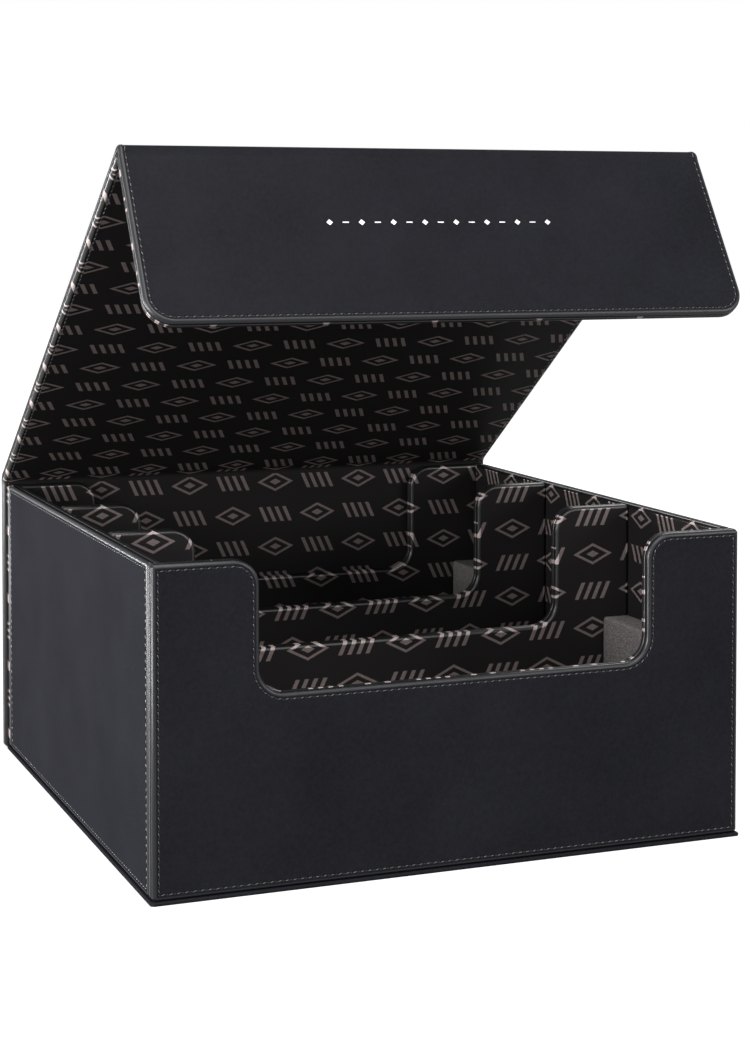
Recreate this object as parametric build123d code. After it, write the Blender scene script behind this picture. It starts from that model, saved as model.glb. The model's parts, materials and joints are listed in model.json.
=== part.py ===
from build123d import *
import math
import os

# A storage box for trading cards in rigid cases. Clad boards make the four walls and two fixed dividers.
# A wrap-over cover of three clad panels closes it: a back panel glued to the box, a lid and a front flap,
# joined by creases of leatherette and lining with no board in them.
# Millimetres, +X right, +Y back, +Z up. The origin is on the table, at the middle of the box's footprint.

# Box, outside sizes of the walls
box_width = 290.0
wall_height = 148.0
wall_thickness = 7.0
divider_thickness = 7.0

# Card rows, one behind the other, with a divider between each two
divider_names = ("front_divider", "rear_divider")
row_clear_depth = 90.0

# U-shaped finger cut through the front wall, the dividers and the back wall
cut_shoulder_width = 49.0
cut_floor_height = 88.0
cut_radius = 12.0

# Coverings and the way they are turned over the board edges
skin = 1.0
bead_radius = 1.7
seam_bevel = 0.6
corner_bevel = 1.3

# Bottom of the box
bottom_sheet = 1.5
bottom_lip = 1.0
bottom_edge_bevel = 0.4
base_board_thickness = 4.0

# Cover, drawn closed and shown open by the angle
cover_thickness = 6.0
cover_overhang = 2.0
back_panel_table_gap = 0.4
lid_rim_clearance = 0.3
lid_open_angle = 34.6
flap_overlap = 26.4
flap_corner_radius = 13.0
flap_top_clearance = 4.3
flap_foot_clearance = 0.4

# Creases: how much further than half its thickness each board stops short of the line that it turns about,
# and how round the sheets' bends are, as a share of the largest radius that fits
lid_crease_slack = 1.5
back_panel_crease_slack = 1.0
flap_crease_slack = 0.5
crease_end_inset = 0.9
crease_roundness = 0.67

# Magnets that hold the flap to the front wall
magnet_count = 3
magnet_spacing = 90.0
magnet_diameter = 15.0
magnet_thickness = 2.0
magnet_drop = 14.0
pocket_clearance = 0.15

# Foam blocks that keep a part-filled row upright
foam_thickness = 15.0
foam_row_slack = 5.0
foam_height = 84.0
foam_edge_bevel = 0.8
foam_clearance = 0.3

# How far a block that cuts a shape runs past the edge that it cuts
overrun = 10.0

right = Vector(1, 0, 0)
back = Vector(0, 1, 0)
up = Vector(0, 0, 1)

# Places that follow from the sizes
row_count = len(divider_names) + 1
inner_width = box_width - 2 * wall_thickness
inner_depth = row_count * row_clear_depth + (row_count - 1) * divider_thickness
box_depth = inner_depth + 2 * wall_thickness
front_face = -box_depth / 2
back_face = box_depth / 2
board_floor = bottom_sheet + base_board_thickness
floor_height = board_floor + skin
row_pitch = row_clear_depth + divider_thickness
cut_width = box_width - 2 * cut_shoulder_width
front_row_start = front_face + wall_thickness
magnet_height = cut_floor_height - magnet_drop
foam_depth = row_clear_depth - foam_row_slack

cover_width = box_width + 2 * cover_overhang
cover_half = cover_thickness / 2
lid_underside = wall_height + lid_rim_clearance
lid_top = lid_underside + cover_thickness
back_panel_face = back_face + cover_thickness
flap_face = front_face - flap_top_clearance - cover_thickness
lid_hinge_gap = cover_half + lid_crease_slack
back_panel_hinge_gap = cover_half + back_panel_crease_slack
flap_hinge_gap = cover_half + flap_crease_slack

# Each crease turns about the line where the mid-planes of its two panels cross
lid_axis = Vector(0, back_face + cover_half, lid_underside + cover_half)
flap_axis = Vector(0, flap_face + cover_half, lid_underside + cover_half)
back_panel_top = lid_axis.Z - back_panel_hinge_gap
lid_rear_end = lid_axis.Y - lid_hinge_gap
lid_front_end = flap_axis.Y + flap_hinge_gap
flap_top_end = flap_axis.Z - flap_hinge_gap
flap_bottom = cut_floor_height - flap_overlap

# The flap leans in until its foot all but touches the front wall, and the lid stands open with it
flap_drop = flap_axis.Z - flap_bottom
flap_lean = math.degrees(math.asin((flap_top_clearance - flap_foot_clearance) / flap_drop))
leaning = Pos(flap_axis) * Rot(flap_lean, 0, 0) * Pos(-flap_axis)
opened = Pos(lid_axis) * Rot(-lid_open_angle, 0, 0) * Pos(-lid_axis)


def panel_plane(distance, outward):
    """The plane of a panel's outer face: local X to the right as seen from outside, local Y up."""
    return Plane(origin=outward * distance, x_dir=up.cross(outward), z_dir=outward)


def sheet_outline(width, low, high):
    """A plain rectangular panel between two heights, with its corners taken off."""
    outline = Pos(0, (low + high) / 2) * Rectangle(width, high - low)
    return chamfer(outline.vertices(), corner_bevel)


def cut_outline(width, low, high):
    """A panel with the U-shaped finger cut in its upper edge, rounded at all four of its bends."""
    notch_top = high + overrun
    notch = Pos(0, (cut_floor_height + notch_top) / 2) * Rectangle(cut_width, notch_top - cut_floor_height)
    outline = Pos(0, (low + high) / 2) * Rectangle(width, high - low) - notch
    halfway = (cut_width + width) / 4
    outline = fillet(outline.vertices().filter_by(lambda v: abs(v.X) < halfway), cut_radius)
    return chamfer(outline.vertices().filter_by(lambda v: abs(v.X) > width / 2 - corner_bevel), corner_bevel)


def clad_panel(outline, thickness, kept=None):
    """A board and the two sheets that cover it, in local coordinates with the outer face at height 0.

    Each sheet lies on one face of the board and is turned over its edge as far as the middle, so that
    every edge shows two beads with a seam between them. What lies outside the kept block is cut away,
    as the board is at a crease.
    """
    half = extrude(outline, -thickness / 2)
    half = fillet(half.edges().group_by(Axis.Z)[-1], bead_radius)
    half = chamfer(half.edges().group_by(Axis.Z)[0], seam_bevel)
    far_half = mirror(half, about=Plane.XY.offset(-thickness / 2))
    board = Pos(0, 0, -skin) * extrude(offset(outline, amount=-skin), -(thickness - 2 * skin))
    solids = [board, half - board, far_half - board]
    if kept is not None:
        solids = [solid & kept for solid in solids]
    return solids


def add_panel(name, solids, place, outer="skin", inner="lining"):
    """Places a clad panel and names its board and its two sheets."""
    for suffix, solid in zip(("board", outer, inner), solids):
        nodes[f"{name}_{suffix}"] = place * solid


def discs(diameter, depth):
    """A row of discs as thick as the magnets, sunk to a depth below a panel's outer face."""
    first = -magnet_spacing * (magnet_count - 1) / 2
    disc = Cylinder(diameter / 2, magnet_thickness, align=(Align.CENTER, Align.CENTER, Align.MAX))
    return [Pos(first + magnet_spacing * i, magnet_height, -depth) * disc for i in range(magnet_count)]


def crease(axis, first_out, first_gap, last_out, last_gap):
    """The leatherette and the lining that join two panels, each one sheet thick, with no board in them.

    Each panel is given by the direction out of the cover and by the gap from its end to the hinge axis. A
    sheet at any height above the mid-planes bends round the corner where it would meet its neighbour.
    """
    turn = math.radians(first_out.get_angle(last_out))
    corner = (first_out + last_out) * (1 / (1 + first_out.dot(last_out)))
    first_end = axis + first_out.rotate(Axis.X, -90) * first_gap
    last_end = axis + last_out.rotate(Axis.X, 90) * last_gap

    def side(height, radius):
        ends = first_end + first_out * height, last_end + last_out * height
        return FilletPolyline(ends[0], axis + corner * height, ends[1], radius=radius)

    strips = []
    for inner_height in (cover_half - skin, -cover_half):
        largest = min(first_gap, last_gap) / math.tan(turn / 2) + inner_height
        radius = crease_roundness * largest
        inside = side(inner_height, radius)
        outside = side(inner_height + skin, radius + skin)
        closing = [Line(inside @ t, outside @ t) for t in (0, 1)]
        profile = make_face([*inside.edges(), *outside.edges(), *closing])
        half_length = cover_width / 2 - crease_end_inset
        strips.append(extrude(profile, amount=half_length, dir=(1, 0, 0), both=True))
    return strips


nodes = {}

# Bottom sheet, base board and floor lining
sheet_width = box_width + 2 * bottom_lip
sheet_depth = box_depth + bottom_lip
bottom = Pos(0, -bottom_lip / 2, bottom_sheet / 2) * Box(sheet_width, sheet_depth, bottom_sheet)
bottom = chamfer(bottom.edges().filter_by(Axis.Z), corner_bevel)
nodes["bottom_cover"] = chamfer(bottom.edges().group_by(Axis.Z)[-1], bottom_edge_bevel)
nodes["base_board"] = Pos(0, 0, (bottom_sheet + board_floor) / 2) * Box(
    inner_width, inner_depth, base_board_thickness
)
nodes["floor_lining"] = Pos(0, 0, (board_floor + floor_height) / 2) * Box(inner_width, inner_depth, skin)

# Walls. The front wall's magnets lie in pockets in its board, flush with the board's outer face
cut_wall = cut_outline(box_width, bottom_sheet, wall_height)
front_panel = clad_panel(cut_wall, wall_thickness)
front_panel[0] -= discs(magnet_diameter + 2 * pocket_clearance, skin)
front_plane = panel_plane(-front_face, -back)
add_panel("front_wall", front_panel, front_plane)
nodes["wall_magnets"] = front_plane * Compound(children=discs(magnet_diameter, skin))
add_panel("back_wall", clad_panel(cut_wall, wall_thickness), panel_plane(back_face, back), outer="facing")
side_panel = clad_panel(sheet_outline(inner_depth, bottom_sheet, wall_height), wall_thickness)
add_panel("left_wall", side_panel, panel_plane(box_width / 2, -right))
add_panel("right_wall", side_panel, panel_plane(box_width / 2, right))

# Dividers, set on the floor lining between the side walls
divider = clad_panel(cut_outline(inner_width, floor_height, wall_height), divider_thickness)
for i, name in enumerate(divider_names):
    divider_face = front_row_start + row_clear_depth + i * row_pitch
    add_panel(name, divider, panel_plane(-divider_face, -back), outer="front_lining", inner="rear_lining")

# Back panel of the cover, glued to the back wall and left open at the top for the crease
back_outline = sheet_outline(cover_width, back_panel_table_gap, back_panel_top + overrun)
below_crease = Pos(0, back_panel_top / 2) * Box(2 * cover_width, back_panel_top, 2 * overrun)
back_panel = clad_panel(back_outline, cover_thickness, below_crease)
add_panel("cover_back", back_panel, panel_plane(back_panel_face, back))

# Lid, left open at both ends for the creases, drawn closed and then turned open
lid_length = lid_rear_end - lid_front_end
lid_middle = (lid_rear_end + lid_front_end) / 2
lid_outline = Pos(0, lid_middle) * Rectangle(cover_width, lid_length + 2 * overrun)
between_creases = Pos(0, lid_middle) * Box(2 * cover_width, lid_length, 2 * overrun)
lid_panel = clad_panel(lid_outline, cover_thickness, between_creases)
add_panel("lid", lid_panel, opened * Pos(0, 0, lid_top))

# Flap, with rounded lower corners, drawn upright. Its magnets lie flush with its board's inner face
flap_high = flap_top_end + overrun
flap_outline = Pos(0, (flap_bottom + flap_high) / 2) * Rectangle(cover_width, flap_high - flap_bottom)
flap_outline = fillet(flap_outline.vertices().group_by(Axis.Y)[0], flap_corner_radius)
under_crease = Pos(0, flap_top_end / 2) * Box(2 * cover_width, flap_top_end, 2 * overrun)
flap_panel = clad_panel(flap_outline, cover_thickness, under_crease)
flap_magnet_depth = cover_thickness - skin - magnet_thickness
flap_panel[0] -= discs(magnet_diameter + 2 * pocket_clearance, flap_magnet_depth)
flap_place = opened * leaning * panel_plane(-flap_face, -back).location
add_panel("flap", flap_panel, flap_place)
nodes["flap_magnets"] = flap_place * Compound(children=discs(magnet_diameter, flap_magnet_depth))

# Creases. The rear one is drawn open, and the front one is drawn with the lid closed and then opened with it
lid_out = up.rotate(Axis.X, -lid_open_angle)
flap_out = -back.rotate(Axis.X, flap_lean)
rear_strips = crease(lid_axis, back, back_panel_hinge_gap, lid_out, lid_hinge_gap)
front_strips = crease(flap_axis, up, flap_hinge_gap, flap_out, flap_hinge_gap)
nodes["rear_crease_skin"], nodes["rear_crease_lining"] = rear_strips
nodes["front_crease_skin"], nodes["front_crease_lining"] = [opened * strip for strip in front_strips]

# Foam blocks at the right-hand end of the front and rear rows, each just clear of the divider or wall behind
foam = Box(foam_thickness, foam_depth, foam_height)
foam = chamfer(foam.edges(), foam_edge_bevel)
foam_x = inner_width / 2 - foam_clearance - foam_thickness / 2
foam_z = floor_height + foam_clearance + foam_height / 2
for name, row in (("front_spacer", 0), ("rear_spacer", row_count - 1)):
    row_back = front_row_start + row * row_pitch + row_clear_depth
    nodes[name] = Pos(foam_x, row_back - foam_clearance - foam_depth / 2, foam_z) * foam

os.makedirs("parts", exist_ok=True)
for name, shape in nodes.items():
    export_step(shape, f"parts/{name}.step")
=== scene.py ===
"""The looks of a leatherette-clad storage box for trading cards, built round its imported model.

Every covering sheet, crease, stitch and foam block is modelled here in metres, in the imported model's frame:
+X right, +Y back, +Z up, the origin on the table under the middle of the box. The boards, the magnets, the
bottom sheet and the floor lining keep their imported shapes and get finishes.
"""

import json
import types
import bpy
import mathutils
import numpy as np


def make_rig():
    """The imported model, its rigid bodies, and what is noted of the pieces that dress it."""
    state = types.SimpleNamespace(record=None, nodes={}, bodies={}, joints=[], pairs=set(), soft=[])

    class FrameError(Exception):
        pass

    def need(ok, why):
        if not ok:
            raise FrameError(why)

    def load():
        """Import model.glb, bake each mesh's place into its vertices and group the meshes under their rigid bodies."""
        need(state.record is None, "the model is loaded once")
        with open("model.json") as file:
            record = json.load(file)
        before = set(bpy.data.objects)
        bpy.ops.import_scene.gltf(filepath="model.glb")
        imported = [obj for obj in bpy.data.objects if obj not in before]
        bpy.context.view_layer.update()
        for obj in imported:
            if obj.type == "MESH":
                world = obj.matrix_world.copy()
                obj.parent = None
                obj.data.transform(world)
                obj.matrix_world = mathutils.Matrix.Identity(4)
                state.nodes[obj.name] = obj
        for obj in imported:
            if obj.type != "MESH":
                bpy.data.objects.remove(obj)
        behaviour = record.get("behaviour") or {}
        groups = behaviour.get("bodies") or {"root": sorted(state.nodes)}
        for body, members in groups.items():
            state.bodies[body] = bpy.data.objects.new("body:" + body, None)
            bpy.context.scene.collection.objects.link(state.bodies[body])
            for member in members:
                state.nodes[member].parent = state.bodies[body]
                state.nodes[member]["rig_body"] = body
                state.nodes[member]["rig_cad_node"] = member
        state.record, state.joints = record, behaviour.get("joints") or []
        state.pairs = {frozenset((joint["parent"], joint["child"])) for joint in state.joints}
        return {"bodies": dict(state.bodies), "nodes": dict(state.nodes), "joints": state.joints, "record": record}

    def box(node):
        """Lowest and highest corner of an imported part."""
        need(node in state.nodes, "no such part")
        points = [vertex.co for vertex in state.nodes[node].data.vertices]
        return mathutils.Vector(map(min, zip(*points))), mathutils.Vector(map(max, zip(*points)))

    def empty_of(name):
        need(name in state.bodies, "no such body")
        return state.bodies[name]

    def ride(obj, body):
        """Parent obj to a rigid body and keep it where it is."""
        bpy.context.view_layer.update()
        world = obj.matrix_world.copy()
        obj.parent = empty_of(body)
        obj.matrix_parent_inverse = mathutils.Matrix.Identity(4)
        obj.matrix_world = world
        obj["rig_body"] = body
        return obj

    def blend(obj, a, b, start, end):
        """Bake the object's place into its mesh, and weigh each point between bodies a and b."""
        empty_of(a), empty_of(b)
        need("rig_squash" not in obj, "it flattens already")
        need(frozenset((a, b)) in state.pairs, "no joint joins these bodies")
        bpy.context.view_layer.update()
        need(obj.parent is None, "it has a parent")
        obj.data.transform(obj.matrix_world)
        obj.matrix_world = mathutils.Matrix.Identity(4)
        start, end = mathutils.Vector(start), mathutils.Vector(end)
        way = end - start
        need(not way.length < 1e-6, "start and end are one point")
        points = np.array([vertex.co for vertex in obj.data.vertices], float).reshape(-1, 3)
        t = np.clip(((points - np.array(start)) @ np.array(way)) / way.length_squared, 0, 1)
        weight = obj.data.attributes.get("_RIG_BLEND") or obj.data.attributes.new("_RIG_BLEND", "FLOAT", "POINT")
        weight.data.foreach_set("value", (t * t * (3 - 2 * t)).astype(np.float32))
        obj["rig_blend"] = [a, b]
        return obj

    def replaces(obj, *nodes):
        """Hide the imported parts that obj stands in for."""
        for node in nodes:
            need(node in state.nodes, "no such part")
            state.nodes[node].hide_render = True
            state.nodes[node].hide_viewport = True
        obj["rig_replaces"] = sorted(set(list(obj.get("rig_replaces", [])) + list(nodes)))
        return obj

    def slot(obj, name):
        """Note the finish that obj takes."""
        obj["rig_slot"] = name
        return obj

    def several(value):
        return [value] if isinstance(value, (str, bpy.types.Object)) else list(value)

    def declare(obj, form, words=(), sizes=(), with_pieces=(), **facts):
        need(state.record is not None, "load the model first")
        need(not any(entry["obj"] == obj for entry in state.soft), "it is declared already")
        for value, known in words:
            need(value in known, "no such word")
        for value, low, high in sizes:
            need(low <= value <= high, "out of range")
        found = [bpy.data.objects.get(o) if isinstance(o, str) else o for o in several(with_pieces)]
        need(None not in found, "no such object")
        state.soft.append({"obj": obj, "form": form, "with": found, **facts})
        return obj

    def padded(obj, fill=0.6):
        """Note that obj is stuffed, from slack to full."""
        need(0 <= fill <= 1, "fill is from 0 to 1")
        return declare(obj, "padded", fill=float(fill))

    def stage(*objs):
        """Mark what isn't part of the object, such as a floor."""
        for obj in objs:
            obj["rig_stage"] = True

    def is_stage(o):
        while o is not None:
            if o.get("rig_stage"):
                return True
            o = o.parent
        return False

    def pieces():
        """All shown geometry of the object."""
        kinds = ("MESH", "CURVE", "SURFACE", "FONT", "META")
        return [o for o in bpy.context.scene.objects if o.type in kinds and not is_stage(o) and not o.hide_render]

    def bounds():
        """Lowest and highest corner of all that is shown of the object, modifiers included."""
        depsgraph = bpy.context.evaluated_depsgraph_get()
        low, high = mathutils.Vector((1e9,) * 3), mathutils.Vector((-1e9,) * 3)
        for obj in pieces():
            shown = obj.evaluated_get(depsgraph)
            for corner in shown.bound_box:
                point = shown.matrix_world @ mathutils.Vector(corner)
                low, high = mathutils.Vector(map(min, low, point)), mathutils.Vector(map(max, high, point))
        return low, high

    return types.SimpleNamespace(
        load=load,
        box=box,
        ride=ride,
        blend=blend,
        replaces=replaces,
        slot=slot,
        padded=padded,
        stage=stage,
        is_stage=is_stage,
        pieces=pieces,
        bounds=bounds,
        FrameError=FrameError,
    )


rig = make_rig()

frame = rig.load()

import json
import logging
import math
import random
from dataclasses import dataclass, field
from enum import Enum
from typing import Iterable, Optional, Sequence

import bmesh
import bpy
from bmesh.types import BMesh, BMFace, BMVert
from bpy.types import Material, Node, NodeSocket, Object, World
from mathutils import Matrix, Vector

log = logging.getLogger("card_box")

Colour = tuple[float, float, float, float]

MM = 0.001
RIGHT = Vector((1, 0, 0))
BACK = Vector((0, 1, 0))
UP = Vector((0, 0, 1))
# How near two points, or two heights, are when they count as one.
SAME_POINT = 1e-7
SAME_HEIGHT = 1e-6
# The upright share of a level face's normal is more than this.
LEVEL = 0.99
# An edge that turns by more than this is shaded sharp.
SHARP_EDGE = math.radians(42)
# An inset of this many times a corner's cut shrinks the cut to a point.
COLLAPSE = math.sqrt(2) / (2 * math.tan(math.radians(22.5)))


class Shape(Enum):
    """The outline of a clad panel."""

    PLAIN = "plain rectangle"
    FINGER_CUT = "rectangle with a U cut in its upper edge"
    FLAP = "rectangle with rounded lower corners"


class Side(Enum):
    """Which face of its board a sheet covers."""

    OUTER = "outer"
    INNER = "inner"


class Coordinates(Enum):
    """Where a finish reads its pattern."""

    OBJECT = "object"
    PANEL = "panel"


@dataclass(frozen=True)
class BoxSizes:
    """Sizes of the box and its cover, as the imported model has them."""

    width: float = 290 * MM
    height: float = 148 * MM
    wall: float = 7 * MM
    divider: float = 7 * MM
    row: float = 90 * MM
    rows: int = 3
    shoulder: float = 49 * MM
    cut_floor: float = 88 * MM
    cut_radius: float = 12 * MM
    skin: float = 1 * MM
    bead: float = 1.7 * MM
    seam: float = 0.6 * MM
    corner: float = 1.3 * MM
    bottom_sheet: float = 1.5 * MM
    floor: float = 6.5 * MM
    cover: float = 6 * MM
    overhang: float = 2 * MM
    back_panel_low: float = 0.4 * MM
    lid_clearance: float = 0.3 * MM
    lid_angle: float = math.radians(34.6)
    flap_overlap: float = 26.4 * MM
    flap_radius: float = 13 * MM
    flap_top_clearance: float = 4.3 * MM
    flap_foot_clearance: float = 0.4 * MM
    lid_gap: float = 4.5 * MM
    back_panel_gap: float = 4 * MM
    flap_gap: float = 3.5 * MM
    crease_roundness: float = 0.67
    overrun: float = 10 * MM

    @property
    def inner_width(self) -> float:
        """Clear width between the side walls."""
        return self.width - 2 * self.wall

    @property
    def inner_depth(self) -> float:
        """Clear depth between the front and back walls."""
        return self.rows * self.row + (self.rows - 1) * self.divider

    @property
    def back_face(self) -> float:
        """Y of the back wall's rear face."""
        return self.inner_depth / 2 + self.wall

    @property
    def cover_width(self) -> float:
        """Width of the three cover panels."""
        return self.width + 2 * self.overhang

    @property
    def cover_half(self) -> float:
        """Half of a cover panel's thickness."""
        return self.cover / 2

    @property
    def lid_top(self) -> float:
        """Height of the closed lid's upper face."""
        return self.height + self.lid_clearance + self.cover

    @property
    def flap_face(self) -> float:
        """Y of the upright flap's front face."""
        return -self.back_face - self.flap_top_clearance - self.cover

    @property
    def lid_axis(self) -> Vector:
        """A point on the hinge line between the back panel and the lid."""
        return Vector((0, self.back_face + self.cover_half, self.lid_top - self.cover_half))

    @property
    def flap_axis(self) -> Vector:
        """A point on the hinge line between the lid and the flap, with the lid closed."""
        return Vector((0, self.flap_face + self.cover_half, self.lid_top - self.cover_half))

    @property
    def flap_bottom(self) -> float:
        """Height of the upright flap's lower edge."""
        return self.cut_floor - self.flap_overlap

    @property
    def flap_lean(self) -> float:
        """Angle by which the flap leans in, so that its foot all but touches the front wall."""
        drop = self.flap_axis.z - self.flap_bottom
        return math.asin((self.flap_top_clearance - self.flap_foot_clearance) / drop)

    @property
    def opened(self) -> Matrix:
        """The turn that opens the lid about its hinge line."""
        return turn_about(self.lid_axis, -self.lid_angle)

    @property
    def leaning(self) -> Matrix:
        """The turn that leans the flap in about its hinge line."""
        return turn_about(self.flap_axis, self.flap_lean)


@dataclass(frozen=True)
class SewingSizes:
    """The sewn groove round a sheet, its stitches and its needle holes."""

    groove_start: float = 2.45 * MM
    groove_wall: float = 0.15 * MM
    groove_half: float = 0.3 * MM
    groove_depth: float = 0.2 * MM
    pitch: float = 3.55 * MM
    stitch_length: float = 1.9 * MM
    length_error: float = 0.06
    thread: float = 0.5 * MM
    thread_sink: float = 0.1 * MM
    slant: float = math.radians(15)
    slant_error: float = 0.05
    hole_length: float = 1.25 * MM
    hole_width: float = 0.7 * MM
    hole_height: float = 0.12 * MM


SIZES = BoxSizes()
SEWING = SewingSizes()


# Meshes


def turn_about(point: Vector, angle: float) -> Matrix:
    """The turn by an angle, from +Y towards +Z, about the line along X through a point."""
    return Matrix.Translation(point) @ Matrix.Rotation(angle, 4, "X") @ Matrix.Translation(-point)


def panel_matrix(distance: float, outward: Vector) -> Matrix:
    """The place of an upright panel, with its outer face at local height 0.

    Args:
        distance: How far the outer face is from the origin, along outward.
        outward: The direction that the outer face looks in.

    Returns:
        The place: local X to the right as seen from outside, local Y up, local Z outwards.
    """
    across = UP.cross(outward)
    place = Matrix((across, UP, outward)).transposed().to_4x4()
    place.translation = outward * distance
    return place


def flat_face(bm: BMesh, height: float) -> BMFace:
    """The largest level face at a height."""
    level = (f for f in bm.faces
             if abs(f.normal.z) > LEVEL and abs(f.calc_center_median().z - height) < SAME_HEIGHT)
    return max(level, key=lambda f: f.calc_area())


def round_off(bm: BMesh, geom: Sequence, size: float, segments: int, affect: str = "EDGES",
              clamp: bool = False) -> list[BMFace]:
    """Rounds edges or corners off, and gives back the new faces."""
    return bmesh.ops.bevel(bm, geom=geom, offset=size, offset_type="OFFSET", segments=segments, profile=0.5,
                           affect=affect, clamp_overlap=clamp, material=-1)["faces"]


def inset(bm: BMesh, face: BMFace, width: float, depth: float = 0.0) -> None:
    """Insets a face and lifts what is left of it by a depth."""
    bmesh.ops.inset_region(bm, faces=[face], thickness=width, depth=depth, use_even_offset=True,
                           use_boundary=True)


def extrude(bm: BMesh, faces: Sequence[BMFace], rise: float) -> None:
    """Extrudes faces along Z.

    Args:
        bm: The mesh to shape.
        faces: The faces to extrude.
        rise: How far they go up.
    """
    grown = bmesh.ops.extrude_face_region(bm, geom=faces)["geom"]
    moved = [part for part in grown if isinstance(part, BMVert)]
    bmesh.ops.translate(bm, vec=(0, 0, rise), verts=moved)


def cut_across(bm: BMesh, height: float, toward: int = 1, clear: bool = False) -> None:
    """Cuts a mesh at a local Y, and clears what lies toward +Y or -Y of it if told to."""
    bmesh.ops.bisect_plane(bm, geom=[*bm.verts, *bm.edges, *bm.faces], dist=SAME_POINT,
                           plane_co=(0, height, 0), plane_no=(0, toward, 0), clear_outer=clear)


def to_inner_side(bm: BMesh, thickness: float) -> None:
    """Mirrors a mesh from a panel's outer face to its inner face.

    Args:
        bm: The mesh to mirror.
        thickness: The panel's thickness.
    """
    bmesh.ops.scale(bm, vec=(1, 1, -1), verts=bm.verts[:])
    bmesh.ops.translate(bm, vec=(0, 0, -thickness), verts=bm.verts[:])
    bmesh.ops.reverse_faces(bm, faces=bm.faces[:])


def make_piece(name: str, bm: BMesh, materials: Sequence[Material]) -> Object:
    """Turns a finished mesh into a piece at the origin, shaded smooth apart from its sharp edges.

    Args:
        name: The piece's name.
        bm: Its mesh, in the row frame. It is freed.
        materials: Its finishes, in the order of the faces' material numbers.

    Returns:
        The piece.
    """
    mesh = bpy.data.meshes.new(name)
    bm.to_mesh(mesh)
    bm.free()
    for material in materials:
        mesh.materials.append(material)
    mesh.polygons.foreach_set("use_smooth", [True] * len(mesh.polygons))
    mesh.set_sharp_from_angle(angle=SHARP_EDGE)
    piece = bpy.data.objects.new(name, mesh)
    bpy.context.scene.collection.objects.link(piece)
    return piece


def cover_node(piece: Object, node: str) -> None:
    """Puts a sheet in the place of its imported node."""
    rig.replaces(piece, node)
    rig.slot(piece, "leatherette" if node.endswith("_skin") else "lining")


@dataclass(frozen=True)
class Panel:
    """A clad panel in local coordinates: X right, Y up, Z out, with its outer face at height 0."""

    name: str
    body: str
    shape: Shape
    width: float
    low: float
    high: float
    thickness: float
    place: Matrix
    kept_low: Optional[float] = None
    kept_high: Optional[float] = None
    curve_segments: int = 14

    @property
    def cuts(self) -> list[tuple[float, int]]:
        """Where the panel ends at a crease, and which way from there its sheets are cleared."""
        ends = ((self.kept_low, -1), (self.kept_high, 1))
        return [(height, toward) for height, toward in ends if height is not None]

    def corners(self) -> list[tuple[float, float]]:
        """The outline before its corners are rounded.

        Returns:
            The corners, anticlockwise from the lower left.
        """
        half = self.width / 2
        notch = []
        if self.shape is Shape.FINGER_CUT:
            cut = SIZES.width / 2 - SIZES.shoulder
            floor = SIZES.cut_floor
            notch = [(cut, self.high), (cut, floor), (-cut, floor), (-cut, self.high)]
        return [(-half, self.low), (half, self.low), (half, self.high), *notch, (-half, self.high)]

    def rounding(self, corner: tuple[float, float]) -> tuple[float, int]:
        """How a corner of the outline is taken off.

        Args:
            corner: One of corners().

        Returns:
            The size of the rounding and its number of segments.
        """
        if self.shape is Shape.FINGER_CUT and abs(corner[0]) < self.width / 2 - SIZES.corner:
            return SIZES.cut_radius, self.curve_segments
        if self.shape is Shape.FLAP and corner[1] == self.low:
            return SIZES.flap_radius, self.curve_segments
        return SIZES.corner, 1


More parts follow.
